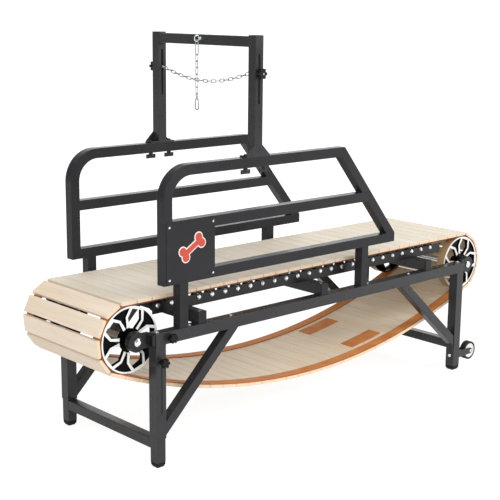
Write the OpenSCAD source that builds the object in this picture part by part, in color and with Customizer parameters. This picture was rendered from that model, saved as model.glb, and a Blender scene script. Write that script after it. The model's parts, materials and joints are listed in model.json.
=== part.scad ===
// Free-running dog treadmill: a loop of wooden slats on four spoked wheels, on a square-tube frame.
// X runs along the belt with the front at -X, Y runs across with the near side at -Y, Z is up.
// The origin lies on the floor, half way between the two axles.

/* [Frame] */
// Outside size of the square tube of guards, arch and braces
tube = 38; // [36:1:40]
// Outside size of the square tube of legs and side rails
leg_tube = 43; // [42:1:46]
// Wall of every square tube
tube_wall = 2; // [1.5:0.25:3]
// Front face of the front legs to the rear face of the rear legs
frame_length = 1759; // [1700:1:1780]
// Outside width across the legs
frame_width = 603; // [595:1:660]
// Height of the top of the side rails
rail_top = 500.5; // [480:0.5:530]
// Height at which each brace meets its leg
brace_foot = 140; // [130:1:200]
// Distance from the leg to each brace's top, along the side rail
brace_reach = 322.5; // [260:0.5:360]
// The same distance for the rear braces
rear_brace_reach = 363.5; // [300:0.5:400]
// Underside of the rear cross tube
rear_cross_z = 100; // [70:1:150]
// Width of the three crossbeams that carry the bearing rails
beam_width = 38; // [30:1:50]
// Height of those crossbeams
beam_height = 46.5; // [40:0.5:46.5]
// Middle of the front crossbeam behind the front of the frame
beam_front_in = 214.5; // [190:0.5:280]
// Middle of the rear crossbeam before the rear of the frame
beam_rear_in = 249.5; // [180:0.5:330]
// Middle crossbeam before the midpoint of the other two
beam_middle_shift = 9.5; // [0:0.5:60]

/* [Front stand] */
// Lower end of the slotted outer legs
outer_leg_z = 108; // [90:1:130]
// Upper end of the sliding inner legs, inside the outer ones
inner_leg_top = 420; // [405:1:440]
// Room between an inner leg and the bore of its outer leg, on each side
slide_room = 0.4; // [0.2:0.1:0.8]
// How far the stand slides out of the outer legs
stand_travel = 190; // [100:5:200]
// Height of the leg knobs at rest
leg_knob_z = 397; // [380:1:400]
// Height of a rubber foot below its tube
foot_height = 20; // [12:1:30]
// How much narrower a foot is at the floor, on each side
foot_taper = 5; // [2:0.5:8]

/* [Wheels and axles] */
// How far each axle lies beyond the end of the frame
axle_overhang = 63; // [58:0.5:66]
// Diameter of the four belt wheels
wheel_d = 242; // [236:1:246]
// Width of a belt wheel
wheel_width = 38; // [30:1:42]
// Diameter of the two axle shafts
shaft_d = 25; // [20:1:30]
// Radial running clearance of a shaft in its bracket
shaft_fit = 0.05; // [0.03:0.01:0.1]
// Outside diameter of a bracket boss
boss_d = 72; // [60:1:80]
// Height of a bracket plate
plate_height = 56; // [44:1:66]
// Thickness of a bracket plate
plate_t = 12; // [8:1:14]
// How far the front axle can be slackened
tension_travel = 5; // [3:1:6]

/* [Deck bearings] */
// Bearings on each side
bearing_count = 25; // [21:1:25]
// First bearing behind the front of the frame
bearing_first_in = 72.5; // [70:0.5:90]
// Last bearing before the rear of the frame
bearing_last_in = 143.3; // [130:0.1:160]
// Outside diameter of a bearing
bearing_d = 48; // [44:1:54]
// Width of a bearing
bearing_width = 15; // [12:1:18]
// Thickness of a bearing rail
bearing_rail_t = 5; // [4:0.5:8]
// Height of a bearing rail above the crossbeams
bearing_rail_height = 40; // [34:1:46]
// Bolt diameter of the bearings
bearing_bolt_d = 12; // [8:1:14]

/* [Belt] */
// Edge of the belt to the outside of the frame, on each side
belt_edge_in = 67.5; // [66:0.5:80]
// Thickness of a slat
slat_t = 13; // [9:0.5:16]
// Gap between two slats
slat_gap = 2.8; // [1.5:0.1:5]
// Slat spacings along the running deck
top_steps = 28; // [26:1:30]
// Slat spacings around each pair of wheels
wrap_steps = 5; // [5:1:6]
// Slat spacings along the hanging return run
return_steps = 30; // [28:1:32]
// How far the return run hangs below the wheels
belt_sag = 185; // [140:1:195]
// Width of an edge strip
strip_width = 46; // [36:1:50]
// Thickness of an edge strip
strip_t = 4; // [3:0.25:6]
// Running gap between the strips and the wheels
strip_gap = 0.8; // [0.6:0.05:0.9]

/* [Guards] */
// Front face of the guard posts, behind the front of the frame
guard_setback = 38.5; // [30:0.5:45]
// Length of a guard along its top
guard_top_length = 910; // [860:2:960]
// Length of a guard along its bottom rail
guard_bottom_length = 1230; // [1180:2:1280]
// Height of a guard from its bottom rail to its top
guard_height = 420; // [380:1:460]
// Height of the stubs between side rail and guard
stub_height = 164.5; // [150:0.5:190]
// Inner bend radius of the guard's front corner
guard_bend = 84; // [50:1:95]
// Height of the mid bar above the guard's underside
mid_bar_rise = 188; // [170:1:210]
// Front face of the front stub and of the rear stub, behind the guard's front
stub_front_x = 71; // [60:1:90]
stub_rear_x = 1030; // [980:2:1080]

/* [Side panel] */
// Length of the panel
panel_length = 222; // [200:1:260]
// Thickness of the panel
panel_t = 2; // [1.5:0.25:3]
// Length of the bone emblem
emblem_length = 124; // [90:1:140]

/* [Tether arch] */
// Centre of the arch posts, behind the front of the guards
arch_x = 442; // [380:2:520]
// Height of the arch posts above the guards
arch_height = 436; // [400:1:480]
// Length and width of a slot in the posts
slot_length = 180; // [150:1:190]
slot_width = 9; // [8.8:0.2:12]
// Top of the slots below the top of the posts
slot_drop = 66; // [55:1:80]
// Height of the cross chain's bolts below the top of the slots
chain_bolt_drop = 70; // [50:1:80]
// Sag of the cross chain
chain_sag = 42; // [30:1:60]
// Wire of the chain links
link_wire = 3.2; // [2.8:0.2:4]
// Inside length of a chain link
link_length = 25; // [24:0.5:27]
// Inside width of a chain link
link_width = 7.6; // [7.2:0.2:9]
// Links of the hanging tether
tether_links = 6; // [4:1:8]

/* [Transport wheels] */
// Diameter of a transport wheel
roller_d = 84; // [60:1:90]
// Width of a transport wheel
roller_width = 25; // [16:1:26]
// Axle of a transport wheel behind the rear legs
roller_reach = 89.5; // [75:0.5:105]
// Height of that axle
roller_z = 68; // [60:1:80]

/* [Hand knobs and bolts] */
// Diameter of a hand knob
knob_d = 36; // [28:1:42]
// Height of a knob's head
knob_h = 14; // [10:1:20]
// Studs of the knobs and bolts of the frame
stud_d = 8; // [6:0.5:8.4]

/* [Hidden] */

$fn = 48;
// Extra length of every cut past the face that it goes through
overrun = 1;
// Small gap between a turning or fastened piece and its neighbour
fit = 0.1;
// Gap between pieces that pass each other
pass_gap = 0.3;
coat = "#3f4043";
wood = "#e4d3b6";
strip_brown = "#b4724a";
steel = "#c9ccd0";
black = "#1c1c1e";

half_len = frame_length / 2;
half_width = frame_width / 2;
rail_y = half_width - leg_tube / 2;
guard_face = rail_y + tube / 2;
rail_z = rail_top - leg_tube / 2;
rail_under = rail_top - leg_tube;
leg_x = half_len - leg_tube / 2;
axle_x = half_len + axle_overhang;
axle_span = 2 * axle_x;
belt_width = frame_width - 2 * belt_edge_in;
beam_front_x = -half_len + beam_front_in;
beam_rear_x = half_len - beam_rear_in;
beam_middle_x = (beam_front_x + beam_rear_x) / 2 - beam_middle_shift;
axle_z = rail_z;
wheel_r = wheel_d / 2;
wheel_face = belt_width / 2;

// Belt path: straight deck, an arc round each wheel pair and one long arc for the return run
hang_angle = 2 * atan(belt_sag / axle_x);
wrap_angle = 180 - hang_angle;
hang_d = axle_x / sin(hang_angle);
hang_z = axle_z + hang_d * cos(hang_angle);
strip_in_r = wheel_r + strip_gap;
slat_in_r = strip_in_r + strip_t;
strip_mid_r = strip_in_r + strip_t / 2;
top_pitch = axle_span / top_steps;
wrap_pitch = wrap_angle / wrap_steps;
return_pitch = 2 * hang_angle / return_steps;
deck_z = axle_z + strip_in_r;
strip_y = belt_width / 2 - strip_width;
// Gap between two sections of an edge strip
strip_joint = 1;

// Bearings and their rails
beam_top = rail_top + beam_height;
bearing_z = deck_z - pass_gap - bearing_d / 2;
bearing_y = wheel_face - wheel_width + bearing_width / 2 + pass_gap;
bearing_collar = 1;
bearing_rail_y = bearing_y + bearing_width / 2 + bearing_collar;
bearing_rail_end = 21;
bearing_rail_tail = 70;
bearing_first_x = -half_len + bearing_first_in;
bearing_last_x = half_len - bearing_last_in;
bearing_pitch = (bearing_last_x - bearing_first_x) / (bearing_count - 1);
bearing_head_d = 19;
bearing_head_h = 6;
bearing_nut_h = 7;
bearing_shield = 1.2;
bearing_ring = 5;
bearing_bush_wall = 5;
bearing_bush_d = bearing_bolt_d + 2 * bearing_bush_wall;

// Guards
guard_front = -half_len + guard_setback;
guard_z = rail_top + stub_height;
guard_top = guard_z + guard_height;
guard_corner = guard_front + guard_top_length;
guard_end = guard_front + guard_bottom_length;
guard_bend_out = guard_bend + tube;
slope_angle = atan2(guard_height - tube, guard_bottom_length - guard_top_length);
mid_bar_z = guard_z + mid_bar_rise;
stub_fronts = [guard_front + stub_front_x, guard_front + stub_rear_x];

// Side panel and emblem
panel_inset = 10;
panel_edge = 4;
panel_x0 = guard_front + panel_inset;
panel_z0 = guard_z + panel_edge;
panel_z1 = mid_bar_z + tube - panel_edge;
screw_d = 5;
screw_head_d = 9;
screw_head_h = 2.6;
screw_xs = [guard_front + tube / 2 + panel_edge, panel_x0 + panel_length - screw_head_d];
screw_zs = [guard_z + tube / 2, mid_bar_z + tube / 2];
emblem_base_t = 1.4;
emblem_top_t = 1;
emblem_rim = 4;
emblem_knuckle_share = 0.125;
emblem_spread_share = 0.105;
emblem_waist_share = 0.16;
emblem_turn = 32;
emblem_z = (panel_z0 + panel_z1) / 2 + emblem_rim * 3;
emblem_x = panel_x0 + panel_length / 2 + emblem_rim;

// Tether arch
post_x = guard_front + arch_x;
base_t = 6;
base_length = 116;
gusset_t = 4;
gusset_reach = 38;
gusset_rise = 37;
post_z = guard_top + base_t;
cap_t = 3;
cap_plug = 12;
arch_top = guard_top + arch_height;
slot_top = arch_top - slot_drop;
chain_bolt_z = slot_top - chain_bolt_drop;
wing_bolt_x = 46;
wing_hub_d = 17;
wing_hub_h = 15;
wing_span = 44;
wing_h = 16;
wing_t = 5;
wing_drop = 9;
bolt_head_d = 16;
bolt_head_h = 5;
bolt_tail = 14;
crossbar_drop = 1.5;
crossbar_z = arch_top - cap_t - crossbar_drop - tube;

// Eye bolt and hanging tether
eye_wire = 5;
eye_d = 22;
eye_shank = 9;
eye_nut_h = 7;
eye_nut_d = 15;
eye_x = post_x - tube / 2 - eye_shank - eye_d / 2 - eye_wire / 2;
eye_z = crossbar_z + tube / 2 + eye_wire;
long_link = 52;
long_link_width = 11;
long_wire = 4;
long_link_end = eye_z - eye_d / 2 + eye_wire / 2 + pass_gap - long_link;
link_play = 0.6;
tether_end = long_link_end + link_play - link_length - (tether_links - 1) * (link_length - link_play);
hook_wire = 5;
hook_width = 13;
hook_straight = 22;
hook_shank = 12;
hook_neck_d = 8;
hook_eye_r = 5;
hook_eye_wire = 4;
gate_d = 4;
hook_eye_z = tether_end + link_play - hook_eye_r + hook_eye_wire / 2;
hook_top_z = hook_eye_z - hook_eye_r - hook_shank - (hook_width + hook_wire) / 2;

// Cross chain, a parabola between the eyes of the two slot bolts
chain_eye_d = link_width + link_wire;
chain_eye_y = rail_y - tube / 2 - slot_width;
chain_half = chain_eye_y - chain_eye_d / 2 + link_wire / 2 + pass_gap;
chain_curve = pow(chain_sag / pow(chain_half, 2), 2);
chain_length = 2 * (chain_half + chain_curve * pow(chain_half, 3) * 2 / 3);
chain_count = 2 * ceil((chain_length / (link_length - pass_gap) - 1) / 2) + 1;
chain_step = chain_length / chain_count;
link_grain = 0.1;
cross_link = round((chain_step + pass_gap) / link_grain) * link_grain;

// Hand knobs
knob_lobes = 6;
knob_lobe_share = 0.3;
knob_neck_d = 18;
knob_neck_h = 10;
leg_knob_neck = 15;
slot_knob_neck = 7;
slot_knob_d = 40;
leg_stud = tube_wall + slide_room + tube_wall + 2 * pass_gap;
rail_stud = tube_wall + slide_room;
rail_knob_x = -half_len + leg_tube + knob_d / 2 + pass_gap * 4;

// Axle brackets
slide_bar = leg_tube - 2 * tube_wall - 2 * slide_room;
bar_inside = 100;
bar_shows = 14;
end_bolt_play = 9;
end_bolt_slot = stud_d + 2 * tension_travel + 2 * end_bolt_play;
end_bolt_slot_w = 12;
boss_out_y = rail_y - pass_gap * 12;
boss_gap = 18;
boss_in_y = wheel_face + boss_gap;
end_cap_d = 30;
end_cap_h = 8;
collar_d = 36;

// Wheel face, as lengths from the axis and half widths across a window
hub_d = 56;
rim_wall = 6;
disc_t = 9;
disc_recess = 7;
strip_recess = 1;
window_count = 5;
window_turn = 73;
window_radius_shares = [0.33, 0.62, 0.91];
window_half_shares = [0.1, 0.25, 0.165];
window_frame = 9.5;
frame_start_share = 0.37;

// Frame fasteners along the rails
stub_bolt_gap = 19;
end_bolt_gap = 19;
rail_bolt_xs = [-half_len + end_bolt_gap, -half_len + leg_tube + brace_reach,
    half_len - leg_tube - brace_reach, half_len - end_bolt_gap,
    stub_fronts[0] + tube + stub_bolt_gap, stub_fronts[1] + tube + stub_bolt_gap];
rail_bolt_length = 12;

// Transport wheels
cheek_t = 4;
fork_wall = 4;
cheek_gap = 1;
fork_height = 34;
fork_nose_d = 26;
roller_bolt_head = 5;
roller_bolt_head_d = 13;
roller_x = half_len + roller_reach;
roller_hub_share = 0.66;
roller_dish = 2;
fork_bolt_z = roller_z;

// Splice patches on the return run's inner face
patch_length = 185;
patch_width = 70;
patch_t = 3;
patch_gap = 25;
patch_x = 393;

// Repeats its children on the near side and, mirrored, on the far side
module both_sides() {
    children();
    mirror([0, 1, 0]) children();
}

// Square tube along X, Y or Z, with its centre line through the given place
module tube_x(x0, x1, y, z, size = tube) {
    difference() {
        translate([x0, y - size / 2, z - size / 2]) cube([x1 - x0, size, size]);
        translate([x0 - overrun, y - size / 2 + tube_wall, z - size / 2 + tube_wall])
            cube([x1 - x0 + 2 * overrun, size - 2 * tube_wall, size - 2 * tube_wall]);
    }
}
module tube_y(y0, y1, x, z, size = tube, height = tube) {
    difference() {
        translate([x - size / 2, y0, z - height / 2]) cube([size, y1 - y0, height]);
        translate([x - size / 2 + tube_wall, y0 - overrun, z - height / 2 + tube_wall])
            cube([size - 2 * tube_wall, y1 - y0 + 2 * overrun, height - 2 * tube_wall]);
    }
}
module tube_z(z0, z1, x, y, size = tube) {
    difference() {
        translate([x - size / 2, y - size / 2, z0]) cube([size, size, z1 - z0]);
        translate([x - size / 2 + tube_wall, y - size / 2 + tube_wall, z0 - overrun])
            cube([size - 2 * tube_wall, size - 2 * tube_wall, z1 - z0 + 2 * overrun]);
    }
}

// Round bar along Y between two places
module rod_y(y0, y1, d, x, z) {
    translate([x, y0, z]) rotate([-90, 0, 0]) cylinder(h = y1 - y0, d = d);
}

// Upright slot cut along Y
module slot_y(y0, y1, x, z0, z1, w) {
    rod_y(y0, y1, w, x, z0 + w / 2);
    rod_y(y0, y1, w, x, z1 - w / 2);
    translate([x - w / 2, y0, z0 + w / 2]) cube([w, y1 - y0, z1 - z0 - w]);
}

// Domed bolt head that stands on z = 0
module dome_head(d, h) {
    rim_share = 0.45;
    rim_h = h * rim_share;
    cylinder(h = rim_h, d = d);
    translate([0, 0, rim_h]) cylinder(h = h - rim_h, d1 = d, d2 = d * (1 - rim_share));
}

module near_rail_body() {
    difference() {
        tube_x(-half_len, half_len, -rail_y, rail_z, leg_tube);
        rod_y(-half_width - overrun, -half_width + tube_wall + overrun, stud_d + 2 * fit, rail_knob_x, rail_z);
        for (x = rail_bolt_xs)
            translate([x, -rail_y, rail_top - tube_wall - overrun])
                cylinder(h = tube_wall + 2 * overrun, d = stud_d + fit);
    }
}
module near_side_rail() { color(coat) near_rail_body(); }
module far_side_rail() { color(coat) mirror([0, 1, 0]) near_rail_body(); }

module near_front_leg_body() {
    difference() {
        tube_z(outer_leg_z, rail_under, -leg_x, -rail_y, leg_tube);
        slot_y(-half_width - overrun, -half_width + tube_wall + overrun, -leg_x,
            leg_knob_z - stand_travel - slot_width / 2, leg_knob_z + slot_width / 2, slot_width);
    }
}
module near_front_leg() { color(coat) near_front_leg_body(); }
module far_front_leg() { color(coat) mirror([0, 1, 0]) near_front_leg_body(); }

module near_rear_leg_body() {
    difference() {
        tube_z(foot_height, rail_under, leg_x, -rail_y, leg_tube);
        translate([half_len - leg_tube - overrun, -rail_y, fork_bolt_z]) rotate([0, 90, 0])
            cylinder(h = leg_tube + 2 * overrun, d = stud_d + fit);
    }
}
module near_rear_leg() { color(coat) near_rear_leg_body(); }
module far_rear_leg() { color(coat) mirror([0, 1, 0]) near_rear_leg_body(); }

// Side view of a front brace, drawn in X and Z, with its outline drawn in by inset
module brace_outline(reach, inset) {
    lean = atan2(rail_under - brace_foot, reach);
    half = tube / 2 - inset;
    up = half / cos(lean);
    along = half / sin(lean);
    x0 = -half_len + leg_tube;
    polygon([
        [x0 + inset, brace_foot - up + inset * tan(lean)],
        [x0 + inset, brace_foot + up + inset * tan(lean)],
        [x0 + reach - along - inset / tan(lean), rail_under - inset],
        [x0 + reach + along - inset / tan(lean), rail_under - inset]]);
}
module brace(reach) {
    translate([0, -rail_y, 0]) rotate([90, 0, 0]) difference() {
        linear_extrude(tube, center = true) brace_outline(reach, 0);
        linear_extrude(tube - 2 * tube_wall, center = true) brace_outline(reach, tube_wall);
    }
}
module leg_braces() {
    color(coat) both_sides() {
        brace(brace_reach);
        mirror([1, 0, 0]) brace(rear_brace_reach);
    }
}

module rear_cross_tube() {
    color(coat) tube_y(-rail_y + leg_tube / 2, rail_y - leg_tube / 2, leg_x, rear_cross_z + tube / 2);
}

module deck_crossbeams() {
    color(coat) for (x = [beam_front_x, beam_middle_x, beam_rear_x])
        tube_y(-guard_face + cap_t, guard_face - cap_t, x, rail_top + beam_height / 2, beam_width, beam_height);
}

// Places of the deck bearings along X
function bearing_xs() = [for (i = [0 : bearing_count - 1]) bearing_first_x + i * bearing_pitch];

module near_bearing_rail_body() {
    x0 = bearing_first_x - bearing_rail_end;
    difference() {
        translate([x0, -bearing_rail_y - bearing_rail_t, beam_top])
            cube([bearing_last_x + bearing_rail_tail - x0, bearing_rail_t, bearing_rail_height]);
        for (x = bearing_xs())
            rod_y(-bearing_rail_y - bearing_rail_t - overrun, -bearing_rail_y + overrun,
                bearing_bolt_d + fit, x, bearing_z);
    }
}
module near_bearing_rail() { color(black) near_bearing_rail_body(); }
module far_bearing_rail() { color(black) mirror([0, 1, 0]) near_bearing_rail_body(); }

// One ball bearing with a shield sunk into each side
module deck_bearing(x) {
    y0 = -bearing_y - bearing_width / 2;
    y1 = -bearing_y + bearing_width / 2;
    difference() {
        rod_y(y0, y1, bearing_d, x, bearing_z);
        rod_y(y0 - overrun, y1 + overrun, bearing_bolt_d + fit, x, bearing_z);
        for (y = [y0 - overrun, y1 - bearing_shield]) difference() {
            rod_y(y, y + bearing_shield + overrun, bearing_d - 2 * bearing_ring, x, bearing_z);
            rod_y(y - overrun, y + bearing_shield + 2 * overrun, bearing_bush_d, x, bearing_z);
        }
    }
}
module near_deck_bearings() { color(steel) for (x = bearing_xs()) deck_bearing(x); }
module far_deck_bearings() { color(steel) mirror([0, 1, 0]) for (x = bearing_xs()) deck_bearing(x); }

module deck_bearing_bolts() {
    color(steel) both_sides() for (x = bearing_xs()) {
        head_y = -bearing_rail_y - bearing_rail_t;
        end_y = -bearing_y + bearing_width / 2;
        rod_y(head_y, end_y, bearing_bolt_d, x, bearing_z);
        rod_y(-bearing_rail_y, -bearing_rail_y + bearing_collar, bearing_bush_d, x, bearing_z);
        translate([x, head_y, bearing_z]) rotate([90, 0, 0]) dome_head(bearing_head_d, bearing_head_h);
        translate([x, end_y, bearing_z]) rotate([-90, 0, 0])
            cylinder(h = bearing_nut_h, d = bearing_head_d, $fn = 6);
    }
}

// Corner of the guard between top rail and slope, at a depth below its outline
function guard_corner_at(depth) =
    [guard_corner - depth * tan(slope_angle / 2), guard_top - depth];
// Place on the slope's edge at that depth and a given height
function slope_x(depth, z) =
    guard_corner_at(depth)[0] + (guard_corner_at(depth)[1] - z) / tan(slope_angle);

// Side view of a guard, drawn in X and Z, with every tube drawn in by inset
module guard_outline(inset) {
    wide = tube - 2 * inset;
    deep = tube - inset;
    bend_x = guard_front + guard_bend_out;
    bend_z = guard_top - guard_bend_out;
    joint = tube / 2;
    translate([guard_front + inset, guard_z + inset]) square([wide, bend_z - guard_z - inset]);
    intersection() {
        translate([bend_x, bend_z]) difference() {
            circle(r = guard_bend_out - inset, $fn = 96);
            circle(r = guard_bend + inset, $fn = 96);
        }
        translate([guard_front, bend_z]) square(guard_bend_out);
    }
    polygon([[bend_x, guard_top - inset], guard_corner_at(inset), guard_corner_at(deep),
        [bend_x, guard_top - deep]]);
    slope_end = slope_x(inset, guard_z + tube);
    polygon([guard_corner_at(inset), [slope_end, guard_z + tube], [slope_end, guard_z + joint],
        [slope_x(deep, guard_z + joint), guard_z + joint], guard_corner_at(deep)]);
    translate([guard_front + inset, guard_z + inset]) square([guard_end - guard_front - 2 * inset, wide]);
    translate([guard_front + joint, mid_bar_z + inset])
        square([slope_x(tube / 2, mid_bar_z + joint) - guard_front - joint, wide]);
    for (x = stub_fronts)
        translate([x + inset, rail_top + inset]) square([wide, stub_height + joint - inset]);
}

module near_guard_body() {
    difference() {
        translate([0, -rail_y, 0]) rotate([90, 0, 0]) difference() {
            linear_extrude(tube, center = true) guard_outline(0);
            linear_extrude(tube - 2 * tube_wall, center = true) guard_outline(tube_wall);
        }
        for (side = [-1, 1])
            translate([post_x + side * wing_bolt_x, -rail_y, guard_top - tube - overrun])
                cylinder(h = tube + 2 * overrun, d = stud_d + fit);
    }
}
module panel_holes() {
    for (x = screw_xs, z = screw_zs)
        rod_y(-guard_face - panel_t - overrun, -guard_face + tube_wall + overrun, screw_d + fit, x, z);
}
module near_guard() {
    color(coat) difference() {
        near_guard_body();
        panel_holes();
    }
}
module far_guard() { color(coat) mirror([0, 1, 0]) near_guard_body(); }

module side_panel() {
    color(coat) difference() {
        translate([panel_x0, -guard_face - panel_t, panel_z0])
            cube([panel_length, panel_t, panel_z1 - panel_z0]);
        panel_holes();
    }
}

// Outline of a bone, drawn about its centre and grown by rim
module bone_outline(rim) {
    knuckle = emblem_length * emblem_knuckle_share;
    spread = emblem_length * emblem_spread_share;
    reach = emblem_length / 2 - knuckle - emblem_rim;
    waist = emblem_length * emblem_waist_share;
    square([2 * reach, waist + 2 * rim], center = true);
    for (side = [-1, 1], rise = [-1, 1])
        translate([side * reach, rise * spread]) circle(r = knuckle + rim);
}
module panel_emblem() {
    color("#d8503c") translate([emblem_x, -guard_face - panel_t, emblem_z]) rotate([90, 0, 0]) rotate(emblem_turn) {
        linear_extrude(emblem_base_t) bone_outline(emblem_rim);
        linear_extrude(emblem_base_t + emblem_top_t) bone_outline(0);
    }
}

module near_arch_post_body() {
    difference() {
        tube_z(post_z, arch_top - cap_t, post_x, -rail_y);
        slot_y(-guard_face - overrun, -guard_face + tube + overrun, post_x, slot_top - slot_length,
            slot_top, slot_width);
    }
}
module near_arch_post() { color(coat) near_arch_post_body(); }
module far_arch_post() { color(coat) mirror([0, 1, 0]) near_arch_post_body(); }

module arch_crossbar() {
    color(coat) difference() {
        tube_y(-rail_y + tube / 2, rail_y - tube / 2, post_x, crossbar_z + tube / 2);
        translate([post_x - tube / 2 - overrun, 0, eye_z]) rotate([0, 90, 0])
            cylinder(h = tube + 2 * overrun, d = stud_d + fit);
    }
}

module arch_base_plate() {
    translate([post_x, -rail_y, guard_top]) {
        difference() {
            translate([-base_length / 2, -tube / 2, 0]) cube([base_length, tube, base_t]);
            for (side = [-1, 1])
                translate([side * wing_bolt_x, 0, -overrun]) cylinder(h = base_t + 2 * overrun, d = stud_d + fit);
        }
        for (side = [0, 1])
            mirror([side, 0, 0]) translate([tube / 2, -tube / 2 + gusset_t, base_t]) rotate([90, 0, 0])
                linear_extrude(gusset_t) polygon([[0, 0], [gusset_reach, 0], [0, gusset_rise]]);
    }
}
module arch_base_plates() { color(coat) both_sides() arch_base_plate(); }

// Coach bolt through base plate and guard, with a wing nut under the guard
module arch_wing_bolt() {
    nut_z = guard_top - tube;
    tail_z = nut_z - wing_hub_h - bolt_tail + wing_drop;
    translate([0, 0, guard_top + base_t]) dome_head(bolt_head_d, bolt_head_h);
    translate([0, 0, tail_z]) cylinder(h = guard_top + base_t - tail_z, d = stud_d);
    difference() {
        union() {
            translate([0, 0, nut_z - wing_hub_h]) cylinder(h = wing_hub_h, d = wing_hub_d);
            translate([-wing_span / 2, -wing_t / 2, nut_z - wing_hub_h - wing_drop])
                cube([wing_span, wing_t, wing_h]);
        }
        translate([0, 0, tail_z - overrun]) cylinder(h = nut_z - tail_z + 2 * overrun, d = stud_d + fit);
    }
}
module arch_wing_bolts() {
    color(black) both_sides() for (side = [-1, 1])
        translate([post_x + side * wing_bolt_x, -rail_y, 0]) arch_wing_bolt();
}

module eye_bolt() {
    color(steel) {
        translate([eye_x, 0, eye_z]) rotate([90, 0, 0]) rotate_extrude()
            translate([eye_d / 2, 0]) circle(d = eye_wire);
        translate([eye_x + eye_d / 2, 0, eye_z]) rotate([0, 90, 0])
            cylinder(h = post_x + tube / 2 + eye_nut_h - eye_x - eye_d / 2, d = stud_d);
        translate([post_x - tube / 2 - eye_nut_h, 0, eye_z]) rotate([0, 90, 0])
            cylinder(h = eye_nut_h, d = eye_nut_d, $fn = 6);
        translate([post_x + tube / 2, 0, eye_z]) rotate([0, 90, 0])
            cylinder(h = eye_nut_h, d = eye_nut_d, $fn = 6);
    }
}

// Rubber foot that tapers to the floor, with a plug up into its tube
module foot(x, y, size) {
    lip = foot_height / 2;
    bottom = size - 2 * foot_taper;
    plug = size - 2 * tube_wall - 2 * fit;
    outline = [[-size / 2, foot_height], [-size / 2, lip], [-bottom / 2, 0], [bottom / 2, 0],
        [size / 2, lip], [size / 2, foot_height]];
    translate([x, y, 0]) {
        intersection() {
            rotate([90, 0, 0]) linear_extrude(size, center = true) polygon(outline);
            rotate([90, 0, 90]) linear_extrude(size, center = true) polygon(outline);
        }
        translate([-plug / 2, -plug / 2, foot_height]) cube([plug, plug, cap_plug]);
    }
}
module rear_feet() { color(black) both_sides() foot(leg_x, -rail_y, leg_tube); }
module front_feet() { color(black) both_sides() foot(-leg_x, -rail_y, slide_bar); }

// Plastic caps on the arch posts and on the ends of the crossbeams
module tube_caps() {
    plug = tube - 2 * tube_wall - 2 * fit;
    beam_plug_w = beam_width - 2 * tube_wall - 2 * fit;
    beam_plug_h = beam_height - 2 * tube_wall - 2 * fit;
    color(black) both_sides() {
        translate([post_x - tube / 2, -guard_face, arch_top - cap_t]) cube([tube, tube, cap_t]);
        translate([post_x - plug / 2, -rail_y - plug / 2, arch_top - cap_t - cap_plug])
            cube([plug, plug, cap_plug]);
        for (x = [beam_front_x, beam_middle_x, beam_rear_x]) {
            translate([x - beam_width / 2, -guard_face, rail_top]) cube([beam_width, cap_t, beam_height]);
            translate([x - beam_plug_w / 2, -guard_face + cap_t, rail_top + beam_height / 2 - beam_plug_h / 2])
                cube([beam_plug_w, cap_plug, beam_plug_h]);
        }
    }
}

// Bolts on the rails, bolts of the transport forks and screws of the side panel
module frame_bolts() {
    fork_x = half_len + fork_wall;
    color(steel) {
        both_sides() {
            for (x = rail_bolt_xs) {
                translate([x, -rail_y, rail_top]) dome_head(bolt_head_d, bolt_head_h);
                translate([x, -rail_y, rail_top - rail_bolt_length]) cylinder(h = rail_bolt_length, d = stud_d);
            }
            translate([half_len - leg_tube, -rail_y, fork_bolt_z]) rotate([0, 90, 0])
                cylinder(h = leg_tube + fork_wall, d = stud_d);
            translate([half_len - leg_tube, -rail_y, fork_bolt_z]) rotate([0, -90, 0])
                dome_head(bolt_head_d, bolt_head_h);
            translate([fork_x, -rail_y, fork_bolt_z]) rotate([0, 90, 0])
                cylinder(h = bolt_head_h, d = bolt_head_d, $fn = 6);
            rod_y(-rail_y - roller_width / 2 - cheek_gap - cheek_t,
                -rail_y + roller_width / 2 + cheek_gap + cheek_t, stud_d, roller_x, roller_z);
            for (side = [-1, 1])
                translate([roller_x, -rail_y + side * (roller_width / 2 + cheek_gap + cheek_t), roller_z])
                    rotate([-side * 90, 0, 0]) dome_head(roller_bolt_head_d, roller_bolt_head);
        }
        for (x = screw_xs, z = screw_zs) {
            rod_y(-guard_face - panel_t, -guard_face + tube_wall, screw_d, x, z);
            translate([x, -guard_face - panel_t, z]) rotate([90, 0, 0]) dome_head(screw_head_d, screw_head_h);
        }
    }
}

// Axle bracket at the front end of a rail: a bar in the rail, a plate and a bored boss
module axle_bracket() {
    difference() {
        union() {
            translate([-half_len - bar_shows, -rail_y - slide_bar / 2, rail_z - slide_bar / 2])
                cube([bar_inside + bar_shows, slide_bar, slide_bar]);
            translate([-axle_x, -boss_out_y, axle_z - plate_height / 2])
                cube([axle_x - half_len - bar_shows + overrun, plate_t, plate_height]);
            rod_y(-boss_out_y - pass_gap, -boss_in_y, boss_d, -axle_x, axle_z);
        }
        rod_y(-half_width - overrun, -boss_in_y + overrun, shaft_d + 2 * shaft_fit, -axle_x, axle_z);
        translate([-half_len + end_bolt_gap - end_bolt_slot / 2, -rail_y - end_bolt_slot_w / 2, rail_z])
            cube([end_bolt_slot, end_bolt_slot_w, slide_bar]);
    }
}
module front_axle_brackets() { color(coat) both_sides() axle_bracket(); }
module rear_axle_brackets() { color(coat) mirror([1, 0, 0]) both_sides() axle_bracket(); }

// Axle shaft with a collar beside each wheel and a cap past each bracket
module axle_shaft(x) {
    cap_y = boss_out_y + 2 * pass_gap;
    color(steel) {
        rod_y(-cap_y, cap_y, shaft_d, x, axle_z);
        both_sides() {
            rod_y(-boss_in_y + pass_gap, -wheel_face, collar_d, x, axle_z);
            translate([x, -cap_y, axle_z]) rotate([90, 0, 0]) dome_head(end_cap_d, end_cap_h);
        }
    }
}
module front_shaft() { axle_shaft(-axle_x); }
module rear_shaft() { axle_shaft(axle_x); }

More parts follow.
